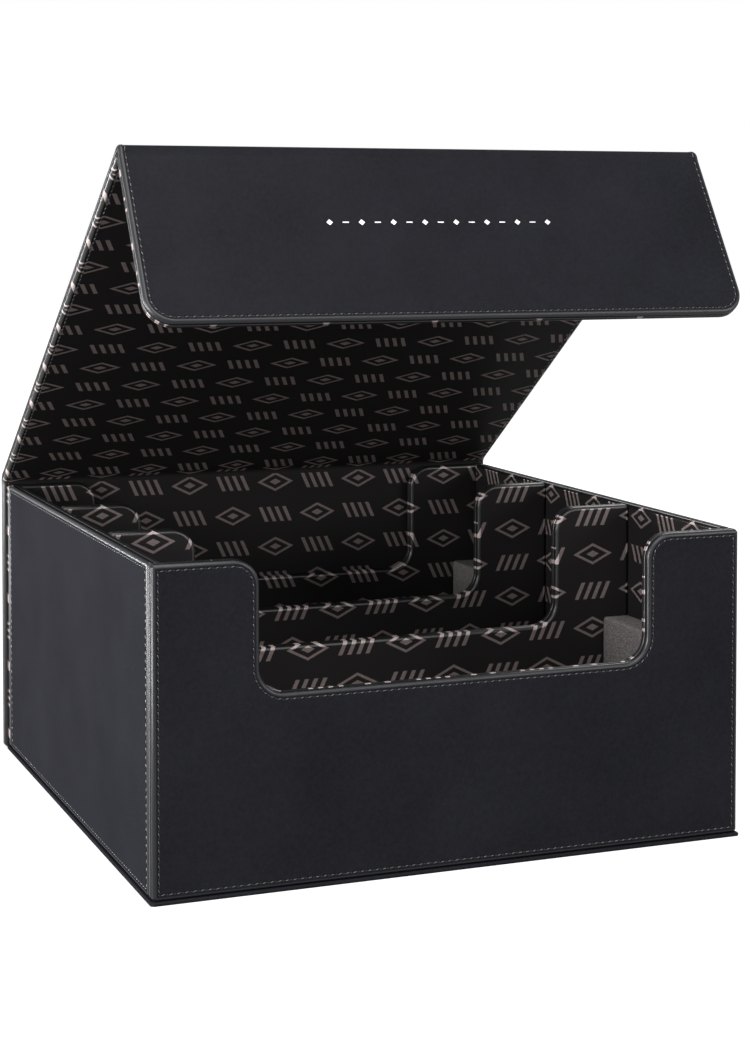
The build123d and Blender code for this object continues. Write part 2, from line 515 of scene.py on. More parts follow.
@dataclass
class Sheet:
    """A covering sheet: flat on one face of a board and turned over its edge as far as the middle.

    A groove sinks into a sewn sheet near its edge, and mesh() keeps its line, as on the outer side.
    """

    panel: Panel
    side: Side
    sewn: bool
    sewn_line: list[Vector] = field(default_factory=list)
    bead_segments: int = 7
    seam_segments: int = 3
    merged: float = 0.02 * MM

    def mesh(self, stations: Sequence[float] = ()) -> BMesh:
        """Models the sheet in the panel's local coordinates.

        Args:
            stations: Heights at which the sheet gets a row of edges, so that it can bend there.

        Returns:
            The sheet as a closed mesh with a UV map in metres. Its face has material 0, its turned edge 1.
        """
        bm = bmesh.new()
        self._slab(bm)
        self._beads(bm)
        self._sink_line(bm)
        self._hollow(bm)
        for height, toward in self.panel.cuts:
            cut_across(bm, height, toward, clear=True)
            bmesh.ops.holes_fill(bm, edges=[e for e in bm.edges if e.is_boundary], sides=0)
        for height in stations:
            cut_across(bm, height)
        if self.side is Side.INNER:
            to_inner_side(bm, self.panel.thickness)
        self._wrap_ends(bm)
        panel_map = bm.loops.layers.uv.new("panel")
        for face in bm.faces:
            for loop in face.loops:
                loop[panel_map].uv = loop.vert.co.xy
        return bm

    def _slab(self, bm: BMesh) -> None:
        """Adds a plate of half the panel's thickness with the panel's outline.

        Args:
            bm: The mesh to add to.
        """
        corners = self.panel.corners()
        verts = [bm.verts.new((x, y, 0)) for x, y in corners]
        bm.faces.new(verts)
        for vert, corner in zip(verts, corners):
            round_off(bm, [vert], *self.panel.rounding(corner), affect="VERTICES")
        extrude(bm, bm.faces[:], -self.panel.thickness / 2)
        bmesh.ops.recalc_face_normals(bm, faces=bm.faces[:])

    def _beads(self, bm: BMesh) -> None:
        """Rounds the turned edge, and takes off the corner beside the seam.

        Args:
            bm: The mesh to shape.
        """
        half = self.panel.thickness / 2
        for height, size, segments in ((0.0, SIZES.bead, self.bead_segments),
                                       (-half, SIZES.seam, self.seam_segments)):
            for face in round_off(bm, list(flat_face(bm, height).edges), size, segments):
                face.material_index = 1

    def _sink_line(self, bm: BMesh) -> None:
        """Adds a ring inside the bead, so that the face shades flat, and sinks the sewn line.

        Args:
            bm: The mesh to shape.
        """
        reached = SIZES.corner * COLLAPSE
        face = flat_face(bm, 0.0)
        inset(bm, face, reached - SIZES.bead)
        bmesh.ops.remove_doubles(bm, verts=list(face.verts), dist=self.merged)
        if not self.sewn:
            return
        face = flat_face(bm, 0.0)
        inset(bm, face, SEWING.groove_start - reached)
        inset(bm, face, SEWING.groove_wall, -SEWING.groove_depth)
        inset(bm, face, SEWING.groove_half)
        self.sewn_line = [v.co.copy() for v in face.verts]
        inset(bm, face, SEWING.groove_half)
        inset(bm, face, SEWING.groove_wall, SEWING.groove_depth)
        inset(bm, face, SEWING.groove_half)

    def _hollow(self, bm: BMesh) -> None:
        """Hollows the plate to one sheet's thickness.

        Args:
            bm: The mesh to shape.
        """
        half = self.panel.thickness / 2
        face = flat_face(bm, -half)
        inset(bm, face, SIZES.skin - SIZES.seam)
        extrude(bm, [face], half - SIZES.skin)
        if face.is_valid:
            bmesh.ops.delete(bm, geom=[face], context="FACES_ONLY")

    def _wrap_ends(self, bm: BMesh) -> None:
        """Gives the lining of a full-width box panel leatherette ends, as the skin is wrapped round them.

        Args:
            bm: The mesh to dress: leatherette is material 2.
        """
        if self.panel.body != "box" or self.panel.width < SIZES.width or self.side is Side.OUTER:
            return
        for face in bm.faces:
            if abs(face.calc_center_median().x) > self.panel.width / 2 - SIZES.bead:
                face.material_index = 2


@dataclass(frozen=True)
class Stitching:
    """The thread in a sheet's sewn line, with a near-black mark between each two stitches, painted shade of the needle
    hole there.
    """

    panel: Panel
    side: Side
    line: Sequence[Vector]
    sharp_turn: float = math.radians(35)
    batch: int = 8
    segments: tuple[int, int] = (8, 5)

    def mesh(self) -> BMesh:
        """Models the stitches and holes in the panel's local coordinates.

        Returns:
            The mesh: thread has material 0, and the painted shade of the needle holes has material 1.
        """
        chance = random.Random(self.panel.name)
        whole = bmesh.new()
        for section in self._sections():
            lengths = [(b - a).length for a, b in zip(section, section[1:])]
            count = max(1, round(sum(lengths) / SEWING.pitch))
            step = sum(lengths) / count
            for first in range(0, count, self.batch):
                bm = bmesh.new()
                for i in range(first, min(count, first + self.batch)):
                    self._thread(bm, chance, *self._at(section, lengths, (i + 0.5) * step))
                    self._hole_shade(bm, *self._at(section, lengths, i * step))
                batch = bpy.data.meshes.new("stitches")
                bm.to_mesh(batch)
                bm.free()
                whole.from_mesh(batch)
                bpy.data.meshes.remove(batch)
        if self.side is Side.INNER:
            to_inner_side(whole, self.panel.thickness)
        return whole

    def _sections(self) -> list[list[Vector]]:
        """Parts the line at its sharp corners, and cuts it off where the panel is.

        Returns:
            The points of each section.
        """
        count = len(self.line)
        sharp = [i for i in range(count) if self._turn(i) > self.sharp_turn] or [0]
        sections = []
        for first, last in zip(sharp, [*sharp[1:], sharp[0] + count]):
            points = self._kept([self.line[i % count] for i in range(first, last + 1)])
            if len(points) > 1:
                sections.append(points)
        return sections

    def _turn(self, i: int) -> float:
        """The angle that the line turns by at its point number i."""
        after = self.line[(i + 1) % len(self.line)] - self.line[i]
        return (self.line[i] - self.line[i - 1]).angle(after)

    def _kept(self, points: list[Vector]) -> list[Vector]:
        """The part of a section between the panel's cuts.

        Args:
            points: The section's points.

        Returns:
            The points that stay, with new ends where the section is cut.
        """
        for height, toward in self.panel.cuts:
            kept: list[Vector] = []
            for start, end in zip(points, points[1:]):
                inside = [toward * (p.y - height) <= 0 for p in (start, end)]
                if all(inside):
                    kept += [start, end]
                elif any(inside):
                    crossing = start.lerp(end, (height - start.y) / (end.y - start.y))
                    kept += [start, crossing] if inside[0] else [crossing, end]
            points = [p for i, p in enumerate(kept) if i == 0 or (p - kept[i - 1]).length > SAME_POINT]
        return points

    @staticmethod
    def _at(section: list[Vector], lengths: list[float], along: float) -> tuple[Vector, Vector]:
        """A point and direction at a distance along a section.

        Args:
            section: The section's points.
            lengths: The lengths of its runs.
            along: The distance.

        Returns:
            The point and the direction of the line there.
        """
        for start, end, length in zip(section, section[1:], lengths):
            if along <= length:
                return start.lerp(end, along / length), (end - start).normalized()
            along -= length
        return section[-1].copy(), (section[-1] - section[-2]).normalized()

    def _ball(self, bm: BMesh, centre: Vector, angle: float, size: Vector, number: int) -> None:
        """Adds a stretched ball.

        Args:
            bm: The mesh to add to.
            centre: Its centre.
            angle: Its turn about local Z.
            size: Its length, width and height.
            number: Its material number.
        """
        around, upward = self.segments
        place = Matrix.LocRotScale(centre, Matrix.Rotation(angle, 3, "Z"), size / 2)
        made = bmesh.ops.create_uvsphere(bm, u_segments=around, v_segments=upward, radius=1, matrix=place)
        for face in {f for v in made["verts"] for f in v.link_faces}:
            face.material_index = number

    def _thread(self, bm: BMesh, chance: random.Random, point: Vector, along: Vector) -> None:
        """Adds one stitch.

        Args:
            bm: The mesh to add to.
            chance: What its small errors are drawn from.
            point: Its middle, on the sewn line.
            along: The direction of the line.
        """
        error = chance.uniform(-SEWING.slant_error, SEWING.slant_error)
        angle = math.atan2(along.y, along.x) + SEWING.slant + error
        length = SEWING.stitch_length * chance.uniform(1 - SEWING.length_error, 1 + SEWING.length_error)
        centre = Vector((point.x, point.y, -SEWING.thread_sink))
        self._ball(bm, centre, angle, Vector((length, SEWING.thread, SEWING.thread)), 0)

    def _hole_shade(self, bm: BMesh, point: Vector, along: Vector) -> None:
        """Adds the painted shade of one needle hole, as a near-black lump on the groove's floor.

        Args:
            bm: The mesh to add to.
            point: Its middle, on the sewn line.
            along: The direction of the line.
        """
        centre = Vector((point.x, point.y, -SEWING.groove_depth))
        size = Vector((SEWING.hole_length, SEWING.hole_width, SEWING.hole_height))
        self._ball(bm, centre, math.atan2(along.y, along.x), size, 1)


@dataclass(frozen=True)
class Fold:
    """How a flat strip bends from one cover panel to the next."""

    axis: Vector
    first_out: Vector
    first_gap: float
    last_out: Vector
    last_gap: float
    after: Matrix
    straight: float = 0.16
    steps: int = 14

    @property
    def turn(self) -> float:
        """The angle between the two panels' outward directions."""
        return self.first_out.angle(self.last_out)

    @property
    def length(self) -> float:
        """The flat strip's length."""
        return self.first_gap + self.last_gap

    @property
    def stations(self) -> list[float]:
        """Heights of the flat strip that get a row of edges, so that it can bend there."""
        bend = 1 - 2 * self.straight
        return [self.length * (self.straight + bend * i / self.steps) for i in range(self.steps + 1)]

    def point(self, x: float, along: float, height: float, inner: float) -> Vector:
        """Where a point of the flat strip comes to lie.

        Args:
            x: Its place along the hinge line.
            along: Its place across the strip, from 0 to 1.
            height: How far it is above the panels' mid-planes.
            inner: The height of its sheet's inner face.

        Returns:
            The point in the row frame.
        """
        corner = (self.first_out + self.last_out) / (1 + self.first_out.dot(self.last_out))
        largest = min(self.first_gap, self.last_gap) / math.tan(self.turn / 2) + inner
        radius = SIZES.crease_roundness * largest + height - inner
        centre = self.axis + corner * (height - radius)
        quarter = Matrix.Rotation(math.pi / 2, 3, "X")
        if along < self.straight:
            start = self.axis - (quarter @ self.first_out) * self.first_gap + self.first_out * height
            spot = start.lerp(centre + self.first_out * radius, along / self.straight)
        elif along > 1 - self.straight:
            end = self.axis + (quarter @ self.last_out) * self.last_gap + self.last_out * height
            spot = end.lerp(centre + self.last_out * radius, (1 - along) / self.straight)
        else:
            share = (along - self.straight) / (1 - 2 * self.straight)
            spot = centre + (Matrix.Rotation(self.turn * share, 3, "X") @ self.first_out) * radius
        return self.after @ (spot + RIGHT * x)


# Finishes


class NodeSketch:
    """The node tree of a material or world, with short ways to add and join nodes."""

    def __init__(self, owner: Material | World) -> None:
        """Starts from the owner's first nodes.

        Args:
            owner: The material or world that the nodes are for.
        """
        owner.use_nodes = True
        self.owner = owner
        self.nodes = owner.node_tree.nodes

    def add(self, kind: str, settings: Optional[dict] = None, **inputs: object) -> Node:
        """Adds a node.

        Args:
            kind: The node's type.
            settings: Its properties.
            **inputs: Its inputs by name, with _ for a space: a value or a socket to join.

        Returns:
            The node.
        """
        node = self.nodes.new(kind)
        for key, value in (settings or {}).items():
            setattr(node, key, value)
        return self.fill(node, **inputs)

    def fill(self, node: Node, **inputs: object) -> Node:
        """Sets or joins a node's inputs.

        Args:
            node: The node.
            **inputs: The inputs by name, with _ for a space.

        Returns:
            The node.
        """
        for key, value in inputs.items():
            self.join(node.inputs[key.replace("_", " ")], value)
        return node

    def join(self, socket: NodeSocket, value: object) -> None:
        """Sets or joins one input.

        Args:
            socket: The input.
            value: A value, or the output to join to it.
        """
        if isinstance(value, NodeSocket):
            self.owner.node_tree.links.new(value, socket)
        else:
            socket.default_value = value

    def math(self, operation: str, *values: object) -> NodeSocket:
        """Adds a sum.

        Args:
            operation: What it does.
            *values: Its values or sockets.

        Returns:
            The result.
        """
        node = self.add("ShaderNodeMath", {"operation": operation})
        for socket, value in zip(node.inputs, values):
            self.join(socket, value)
        return node.outputs[0]

    def coordinates(self, kind: Coordinates = Coordinates.OBJECT) -> NodeSocket:
        """The coordinates that a pattern reads, in metres.

        Args:
            kind: Object coordinates or the piece's own flat map.

        Returns:
            The coordinates.
        """
        if kind is Coordinates.PANEL:
            return self.add("ShaderNodeUVMap", {"uv_map": "panel"}).outputs["UV"]
        return self.add("ShaderNodeTexCoord").outputs["Object"]

    def noise(self, where: NodeSocket, scale: float, detail: float, roughness: float) -> NodeSocket:
        """Adds a cloud pattern.

        Args:
            where: Its coordinates.
            scale: Its number of clouds to a metre.
            detail: How fine its detail goes.
            roughness: How strong its detail is.

        Returns:
            The pattern, about 0.5 in its middle.
        """
        return self.add("ShaderNodeTexNoise", Vector=where, Scale=scale, Detail=detail,
                        Roughness=roughness).outputs["Fac"]

    def cells(self, where: NodeSocket, scale: float, **settings: object) -> NodeSocket:
        """Adds a pattern of cells.

        Args:
            where: Its coordinates.
            scale: Its number of cells to a metre.
            **settings: The node's other properties.

        Returns:
            The distance from each cell's middle.
        """
        return self.add("ShaderNodeTexVoronoi", settings, Vector=where, Scale=scale).outputs["Distance"]

    def spread(self, value: NodeSocket, low: float, high: float, new_low: float = 0.0,
               new_high: float = 1.0) -> NodeSocket:
        """Maps a range to another, with its ends held.

        Args:
            value: The value to map.
            low: The range's start.
            high: The range's end.
            new_low: What low becomes.
            new_high: What high becomes.

        Returns:
            The mapped value.
        """
        return self.add("ShaderNodeMapRange", Value=value, From_Min=low, From_Max=high, To_Min=new_low,
                        To_Max=new_high).outputs["Result"]

    def mix(self, share: NodeSocket, first: Colour, second: Colour) -> NodeSocket:
        """Mixes two colours.

        Args:
            share: How much of the second there is.
            first: The first colour.
            second: The second colour.

        Returns:
            The mixed colour.
        """
        node = self.add("ShaderNodeMix", {"data_type": "RGBA"})
        self.join(node.inputs[0], share)
        self.join(node.inputs[6], first)
        self.join(node.inputs[7], second)
        return node.outputs[2]

    def bump(self, height: NodeSocket, distance: float, strength: float, **under: NodeSocket) -> NodeSocket:
        """Adds relief.

        Args:
            height: The height from 0 to 1.
            distance: What a height of 1 is, in metres.
            strength: How much of it shows.
            **under: Normal, the relief that it lies on.

        Returns:
            The normal.
        """
        return self.add("ShaderNodeBump", Height=height, Distance=distance, Strength=strength,
                        **under).outputs["Normal"]

    def finish(self, **inputs: object) -> Material:
        """Sets the shader's inputs by name and gives back the material."""
        self.fill(self.nodes["Principled BSDF"], **inputs)
        return self.owner


def new_sketch(name: str) -> NodeSketch:
    """Starts a material."""
    return NodeSketch(bpy.data.materials.new(name))


def grey(value: float, warm: float = 0.0) -> Colour:
    """A grey, redder and less blue by a share of warmth."""
    return value * (1 + warm), value, value * (1 - warm), 1.0


@dataclass(frozen=True)
class Coat:
    """A thin clear coat on a ground that has no gloss of its own."""

    weight: float
    ior: float
    roughness: float

    def over(self, sketch: NodeSketch, colour: NodeSocket, rough: NodeSocket, normal: NodeSocket) -> Material:
        """Finishes a material with the coat.

        Args:
            sketch: The material's nodes.
            colour: The ground's colour.
            rough: The ground's roughness.
            normal: The relief of the ground and the coat.

        Returns:
            The material.
        """
        return sketch.finish(Base_Color=colour, Roughness=rough, Normal=normal, Specular_IOR_Level=0.0,
                             Coat_Weight=self.weight, Coat_IOR=self.ior, Coat_Roughness=self.roughness,
                             Coat_Normal=normal)


@dataclass(frozen=True)
class Leatherette:
    """Smooth charcoal leatherette with a fine pressed grain and faint waves of the board under it."""

    name: str
    dark: Colour = (0.0054, 0.0055, 0.0070, 1.0)
    light: Colour = (0.0104, 0.0106, 0.0130, 1.0)
    roughness: float = 0.55
    coat: Coat = Coat(weight=0.02, ior=1.8, roughness=0.34)
    grain: float = 0.07 * MM
    grain_scale: float = 1900
    cell_scale: float = 1500
    mottle_scale: float = 620
    cloud_scale: float = 22
    wave: float = 0.35 * MM
    wave_scale: float = 34

    def material(self) -> Material:
        """Makes the material.

        Returns:
            The material.
        """
        sketch = new_sketch(self.name)
        where = sketch.coordinates()
        clouds = sketch.noise(where, self.cloud_scale, 3, 0.55)
        mottle = sketch.noise(where, self.mottle_scale, 4, 0.7)
        share = sketch.math("MULTIPLY_ADD", sketch.spread(mottle, 0.3, 0.7), 0.6,
                            sketch.spread(clouds, 0.3, 0.7, 0.0, 0.4))
        colour = sketch.mix(share, self.dark, self.light)
        cells = sketch.cells(where, self.cell_scale, feature="SMOOTH_F1")
        cells.node.inputs["Smoothness"].default_value = 0.35
        grain = sketch.noise(where, self.grain_scale, 2, 0.5)
        relief = sketch.math("MULTIPLY_ADD", grain, 0.6, sketch.math("MULTIPLY", cells, 0.5))
        waves = sketch.bump(sketch.noise(where, self.wave_scale, 2, 0.45), self.wave, 0.5)
        normal = sketch.bump(relief, self.grain, 0.85, Normal=waves)
        rough = sketch.spread(mottle, 0.3, 0.7, self.roughness - 0.05, self.roughness + 0.07)
        return self.coat.over(sketch, colour, rough, normal)


@dataclass(frozen=True)
class PrintedLining:
    """Near-black coated paper with a pearl print: lozenges and slanted bars by turns on a straight grid."""

    name: str
    coordinates: Coordinates = Coordinates.PANEL
    ground: Colour = (0.0098, 0.0089, 0.0092, 1.0)
    ink: Colour = (0.112, 0.090, 0.087, 1.0)
    pitch: tuple[float, float] = (26 * MM, 19 * MM)
    lozenge: tuple[float, float] = (11.2 * MM, 5.6 * MM)
    ring: tuple[float, float] = (0.86, 0.125)
    core: float = 0.32
    bar_slant: float = 0.45
    bar_pitch: float = 4.8 * MM
    bar_share: float = 0.46
    bars: tuple[float, float] = (9.6 * MM, 4.3 * MM)
    roughness: float = 0.55
    coat: Coat = Coat(weight=0.05, ior=1.6, roughness=0.4)
    grain: float = 0.05 * MM
    grain_scale: float = 1500
    fleck_scale: float = 900

    @staticmethod
    def _cell(sketch: NodeSketch, value: NodeSocket, pitch: float) -> tuple[NodeSocket, NodeSocket]:
        """Splits a coordinate into cells.

        Args:
            sketch: The material's nodes.
            value: The coordinate.
            pitch: The cells' size.

        Returns:
            The cell's number, and the distance from its middle in metres.
        """
        scaled = sketch.math("DIVIDE", value, pitch)
        middle = sketch.math("SUBTRACT", sketch.math("FRACT", scaled), 0.5)
        return sketch.math("FLOOR", scaled), sketch.math("MULTIPLY", middle, pitch)

    def _lozenge(self, sketch: NodeSketch, x: NodeSocket, y: NodeSocket) -> NodeSocket:
        """A lozenge drawn as a ring round a solid core.

        Args:
            sketch: The material's nodes.
            x: The distance from the cell's middle.
            y: The same, upwards.

        Returns:
            1 where there is ink.
        """
        across = sketch.math("DIVIDE", sketch.math("ABSOLUTE", x), self.lozenge[0])
        upward = sketch.math("DIVIDE", sketch.math("ABSOLUTE", y), self.lozenge[1])
        reach = sketch.math("ADD", across, upward)
        ring = sketch.math("COMPARE", reach, *self.ring)
        return sketch.math("MAXIMUM", ring, sketch.math("LESS_THAN", reach, self.core))

    def _bars(self, sketch: NodeSketch, x: NodeSocket, y: NodeSocket) -> NodeSocket:
        """Four slanted bars side by side.

        Args:
            sketch: The material's nodes.
            x: The distance from the cell's middle.
            y: The same, upwards.

        Returns:
            1 where there is ink.
        """
        slanted = sketch.math("MULTIPLY_ADD", y, -self.bar_slant, x)
        stripe = sketch.math("FRACT", sketch.math("DIVIDE", slanted, self.bar_pitch))
        stripes = sketch.math("COMPARE", stripe, 0.5, self.bar_share / 2)
        inside_x = sketch.math("LESS_THAN", sketch.math("ABSOLUTE", slanted), self.bars[0])
        inside_y = sketch.math("LESS_THAN", sketch.math("ABSOLUTE", y), self.bars[1])
        return sketch.math("MULTIPLY", stripes, sketch.math("MULTIPLY", inside_x, inside_y))

    def material(self) -> Material:
        """Makes the material.

        Returns:
            The material.
        """
        sketch = new_sketch(self.name)
        where = sketch.coordinates(self.coordinates)
        parts = sketch.add("ShaderNodeSeparateXYZ", Vector=where)
        column, x = self._cell(sketch, parts.outputs["X"], self.pitch[0])
        row, y = self._cell(sketch, parts.outputs["Y"], self.pitch[1])
        odd = sketch.math("PINGPONG", sketch.math("ADD", column, row), 1.0)
        lozenge = sketch.math("MULTIPLY", self._lozenge(sketch, x, y), sketch.math("SUBTRACT", 1.0, odd))
        ink = sketch.math("ADD", lozenge, sketch.math("MULTIPLY", self._bars(sketch, x, y), odd))
        fleck = sketch.noise(where, self.fleck_scale, 3, 0.6)
        ink_share = sketch.math("MULTIPLY", ink, sketch.spread(fleck, 0.3, 0.6, 0.72, 1.0))
        colour = sketch.mix(ink_share, self.ground, self.ink)
        grain = sketch.noise(where, self.grain_scale, 2, 0.6)
        normal = sketch.bump(sketch.math("MULTIPLY_ADD", ink, 0.3, grain), self.grain, 0.8)
        rough = sketch.spread(fleck, 0.3, 0.7, self.roughness - 0.05, self.roughness + 0.08)
        return self.coat.over(sketch, colour, rough, normal)


@dataclass(frozen=True)
class Foam:
    """Open-cell grey-brown foam."""

    name: str = "spacer foam"
    dark: Colour = (0.046, 0.043, 0.041, 1.0)
    light: Colour = (0.140, 0.129, 0.125, 1.0)
    relief: float = 0.25 * MM
    cell_scale: float = 1100
    speck_scale: float = 1400

    def material(self) -> Material:
        """Makes the material.

        Returns:
            The material.
        """
        sketch = new_sketch(self.name)
        where = sketch.coordinates()
        speck = sketch.math("MULTIPLY", sketch.noise(where, self.speck_scale, 3, 0.7), 0.7)
        share = sketch.math("MULTIPLY_ADD", sketch.cells(where, self.cell_scale), 0.55, speck)
        share = sketch.spread(share, 0.35, 0.85)
        return sketch.finish(Base_Color=sketch.mix(share, self.dark, self.light), Roughness=0.95,
                             Normal=sketch.bump(share, self.relief, 0.9), Specular_IOR_Level=0.2)


@dataclass(frozen=True)
class Thread:
    """Glossy grey twisted thread."""

    name: str = "sewing thread"
    dark: Colour = (0.0252, 0.0245, 0.0259, 1.0)
    light: Colour = (0.036, 0.035, 0.037, 1.0)
    relief: float = 0.06 * MM
    strand_scale: float = 3200

    def material(self) -> Material:
        """Makes the material.

        Returns:
            The material.
        """
        sketch = new_sketch(self.name)
        strands = sketch.noise(sketch.coordinates(), self.strand_scale, 2, 0.6)
        return sketch.finish(Base_Color=sketch.mix(strands, self.dark, self.light), Roughness=0.3,
                             Normal=sketch.bump(strands, self.relief, 0.8), Specular_IOR_Level=0.45)


@dataclass(frozen=True)
class PlainFinish:
    """A plain finish with a fine speckle and relief."""

    name: str
    dark: Colour
    light: Colour
    scale: float
    roughness: float
    metallic: float = 0.0
    relief: float = 0.03 * MM

    def material(self) -> Material:
        """Makes the material.

        Returns:
            The material.
        """
        sketch = new_sketch(self.name)
        speck = sketch.noise(sketch.coordinates(), self.scale, 4, 0.6)
        colour = sketch.mix(sketch.spread(speck, 0.3, 0.7), self.dark, self.light)
        rough = sketch.spread(speck, 0.3, 0.7, self.roughness - 0.05, self.roughness + 0.05)
        return sketch.finish(Base_Color=colour, Roughness=rough, Normal=sketch.bump(speck, self.relief, 0.6),
                             Metallic=self.metallic)


class Finishes:
    """The box's materials, made once."""

    def __init__(self) -> None:
        """Makes them. A rolled edge has a clear coat, a darker ground that offsets the coat's gloss, and a coarser,
        fainter grain; the ink on the lining's rolled edge is painted paler, a painted highlight on the print.
        """
        edge = {"grain": 0.045 * MM, "grain_scale": 700}
        self.leatherette = Leatherette("charcoal leatherette").material()
        self.leatherette_edge = Leatherette(
            "charcoal leatherette rolled edge", (0.0020, 0.0022, 0.0030, 1.0), (0.0044, 0.0047, 0.0060, 1.0),
            coat=Coat(weight=0.56, ior=1.5, roughness=0.38), **edge).material()
        self.lining = PrintedLining("printed lining").material()
        # The paler ink on the lining's rolled edge is a painted highlight: the print there is painted lighter than on
        # the face.
        self.lining_edge = PrintedLining(
            "printed lining rolled edge", ground=(0.0030, 0.0028, 0.0029, 1.0), ink=(0.30, 0.25, 0.24, 1.0),
            coat=Coat(weight=0.7, ior=1.5, roughness=0.38), **edge).material()
        self.floor_lining = PrintedLining("printed floor lining", Coordinates.OBJECT).material()
        self.foam = Foam().material()
        # The needle holes are near-black lumps: painted shade in place of real holes.
        hole = PlainFinish("needle hole", grey(0.002), grey(0.004), 900, 0.9)
        self.sewing = [Thread().material(), hole.material()]
        self.board = PlainFinish("grey board", grey(0.19, 0.1), grey(0.30, 0.1), 700, 0.9).material()
        self.magnet = PlainFinish("nickel plate", grey(0.5), grey(0.62), 500, 0.28, 1.0).material()
        self.foil = PlainFinish("silver foil", grey(0.62), grey(0.78), 1500, 0.34, 0.9).material()

    def sheet(self, suffix: str) -> list[Material]:
        """The face, the rolled edge and the wrapped ends of the sheet with this last word in its name."""
        skin = [self.leatherette, self.leatherette_edge]
        return skin if suffix == "skin" else [self.lining, self.lining_edge, self.leatherette_edge]


# The object


@dataclass(frozen=True)
class CladPanel:
    """A clad panel of the box or its cover: an outer and an inner sheet, and the stitching on each sewn one.

    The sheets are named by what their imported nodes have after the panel's name.
    """

    panel: Panel
    finishes: Finishes
    outer: str = "skin"
    inner: str = "lining"
    sewn: tuple[bool, bool] = (True, True)

    def build(self) -> list[Object]:
        """Makes the sheets and the stitching.

        Returns:
            The pieces.
        """
        panel = self.panel
        pieces = []
        for side, suffix, sewn in zip(Side, (self.outer, self.inner), self.sewn):
            sheet = Sheet(panel, side, sewn)
            pieces.append(self._place(f"{suffix}_sheet", sheet.mesh(), self.finishes.sheet(suffix)))
            cover_node(pieces[-1], f"{panel.name}_{suffix}")
            if sewn:
                stitches = Stitching(panel, side, sheet.sewn_line).mesh()
                pieces.append(self._place(f"{side.value}_stitching", stitches, self.finishes.sewing))
                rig.slot(pieces[-1], "leatherette")
        return pieces

    def _place(self, suffix: str, bm: BMesh, materials: Sequence[Material]) -> Object:
        """Makes a piece of a mesh in the panel's local coordinates.

        Args:
            suffix: The piece's name after the panel's.
            bm: Its mesh.
            materials: Its finishes.

        Returns:
            The piece.
        """
        bm.transform(self.panel.place)
        piece = make_piece(f"{self.panel.name}_{suffix}", bm, materials)
        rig.ride(piece, self.panel.body)
        return piece


@dataclass(frozen=True)
class Crease:
    """The leatherette and the lining that join two cover panels, and their stitching."""

    name: str
    bodies: tuple[str, str]
    fold: Fold
    finishes: Finishes
    end_rise: float = 0.7 * MM
    rise_width: float = 6 * MM
    rise_share: float = 0.625

    def build(self) -> list[Object]:
        """Makes the two strips and their stitching.

        Returns:
            The pieces.
        """
        length = self.fold.length
        # The strip is a panel while it is flat, and rides on no body alone.
        panel = Panel(self.name, "", Shape.PLAIN, SIZES.cover_width, -SIZES.overrun, length + SIZES.overrun,
                      SIZES.cover, Matrix.Identity(4), 0.0, length)
        pieces = []
        for side, suffix in zip(Side, ("skin", "lining")):
            node = f"{self.name}_{suffix}"
            sheet = Sheet(panel, side, True)
            strip = sheet.mesh(self.fold.stations)
            pieces.append(self._bent(f"{node}_sheet", strip, side, self.finishes.sheet(suffix)))
            cover_node(pieces[-1], node)
            stitches = Stitching(panel, side, sheet.sewn_line).mesh()
            pieces.append(self._bent(f"{node}_stitching", stitches, side, self.finishes.sewing))
            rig.slot(pieces[-1], "leatherette")
        return pieces

    def _bent(self, name: str, bm: BMesh, side: Side, materials: Sequence[Material]) -> Object:
        """Bends a flat strip round the fold and joins it to both bodies.

        Args:
            name: The piece's name.
            bm: The flat strip.
            side: Outer or inner.
            materials: Its finishes.

        Returns:
            The piece.
        """
        fold, half = self.fold, SIZES.cover_half
        inner, level = (half - SIZES.skin, 0.0) if side is Side.OUTER else (-half, -half)
        for vert in bm.verts:
            x, y, z = vert.co
            along = min(1.0, max(0.0, y / fold.length))
            height = z + half
            if side is Side.OUTER:
                height += self._rise(x, along) * max(0.0, height / half)
            vert.co = fold.point(x, along, height, inner)
        bmesh.ops.reverse_faces(bm, faces=bm.faces[:])  # the bend turns the strip inside out
        piece = make_piece(name, bm, materials)
        start, end = (fold.point(0.0, share, level, inner) for share in (0.0, 1.0))
        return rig.blend(piece, *self.bodies, start=start, end=end)

    def _rise(self, x: float, along: float) -> float:
        """How far the skin stands up, which it does near the fold's two ends.

        Args:
            x: The place along the hinge line.
            along: The place across the strip, from 0 to 1.

        Returns:
            The rise of the outer face.
        """
        into_end = (abs(x) - (SIZES.cover_width / 2 - self.rise_width)) / self.rise_width
        near_end = min(1.0, max(0.0, into_end / self.rise_share))
        return self.end_rise * near_end * near_end * (3 - 2 * near_end) * math.sin(math.pi * along)


